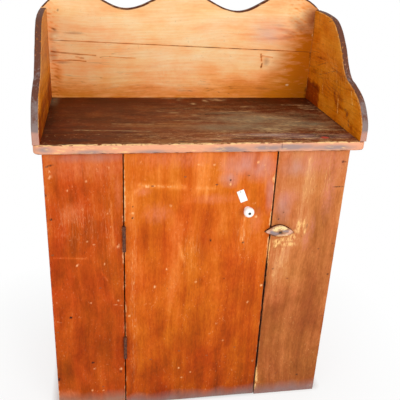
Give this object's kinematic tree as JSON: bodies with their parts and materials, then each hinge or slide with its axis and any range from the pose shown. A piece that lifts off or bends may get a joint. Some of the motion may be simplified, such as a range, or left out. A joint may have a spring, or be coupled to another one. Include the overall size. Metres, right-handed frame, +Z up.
{
  "type": "dry sink cabinet",
  "caption": "Boarded pine cabinet with a hinged full-height door, a wooden turn button, a shelf inside and a scrolled gallery around its overhanging top.",
  "frame": {"origin": "on the floor, under the centre of the bounding box", "axes": "+Z up, -Y towards the viewer at the door, +X to the viewer's right"},
  "size_m": [0.8496, 0.473, 1.1765],
  "materials": {
    "case_pine": "shellacked red-stained pine, worn",
    "top_pine": "dark worn stain with scrubbed patches",
    "gallery_pine": "clear shellac over old pine",
    "inside_pine": "unfinished aged pine",
    "button_wood": "whittled, stained and worn pale on its facets",
    "hinge_iron": "old rusted and stained-over iron",
    "steel_screws": "dull darkened steel",
    "wrought_nails": "rusted cut iron",
    "porcelain": "white glazed",
    "tag_card": "blank matt white card"
  },
  "bodies": {
    "case": {"case_side_left": "case_pine", "case_side_right": "case_pine", "face_board_left": "case_pine", "face_board_right": "case_pine", "bottom_board": "inside_pine", "shelf_board": "inside_pine", "bottom_cleat_left": "inside_pine", "bottom_cleat_right": "inside_pine", "shelf_cleat_left": "inside_pine", "shelf_cleat_right": "inside_pine", "case_back_board_1": "inside_pine", "case_back_board_2": "inside_pine", "case_back_board_3": "inside_pine", "top_board_front": "top_pine", "top_board_rear": "top_pine", "gallery_side_left": "gallery_pine", "gallery_side_right": "gallery_pine", "gallery_back_lower": "gallery_pine", "gallery_back_upper": "gallery_pine", "hinge_upper_case_leaf": "hinge_iron", "hinge_upper_case_screws": "steel_screws", "hinge_upper_pin": "hinge_iron", "hinge_lower_case_leaf": "hinge_iron", "hinge_lower_case_screws": "steel_screws", "hinge_lower_pin": "hinge_iron", "turn_button_screw": "steel_screws", "face_nails": "wrought_nails", "top_nails": "wrought_nails", "gallery_foot_nails": "wrought_nails", "gallery_back_nails": "wrought_nails", "case_back_nails": "wrought_nails", "cleat_nails": "wrought_nails"},
    "door": {"door_board": "case_pine", "door_batten_lower": "inside_pine", "door_batten_upper": "inside_pine", "batten_nails": "wrought_nails", "knob": "porcelain", "knob_bolt": "steel_screws", "knob_nut": "steel_screws", "card_tag": "tag_card", "tag_tack": "steel_screws", "hinge_upper_door_leaf": "hinge_iron", "hinge_upper_door_screws": "steel_screws", "hinge_lower_door_leaf": "hinge_iron", "hinge_lower_door_screws": "steel_screws"},
    "turn_button": {"turn_button": "button_wood"}
  },
  "joints": [
    {"name": "door_hinge", "type": "hinge", "parent": "case", "child": "door", "pos_m": [-0.20825, -0.2133, 0.4015], "axis": [0, 0, -1], "range_deg": [0, 175]},
    {"name": "turn_button_pivot", "type": "hinge", "parent": "case", "child": "turn_button", "pos_m": [0.22025, -0.2154, 0.587], "axis": [0, -1, 0], "continuous": true}
  ]
}
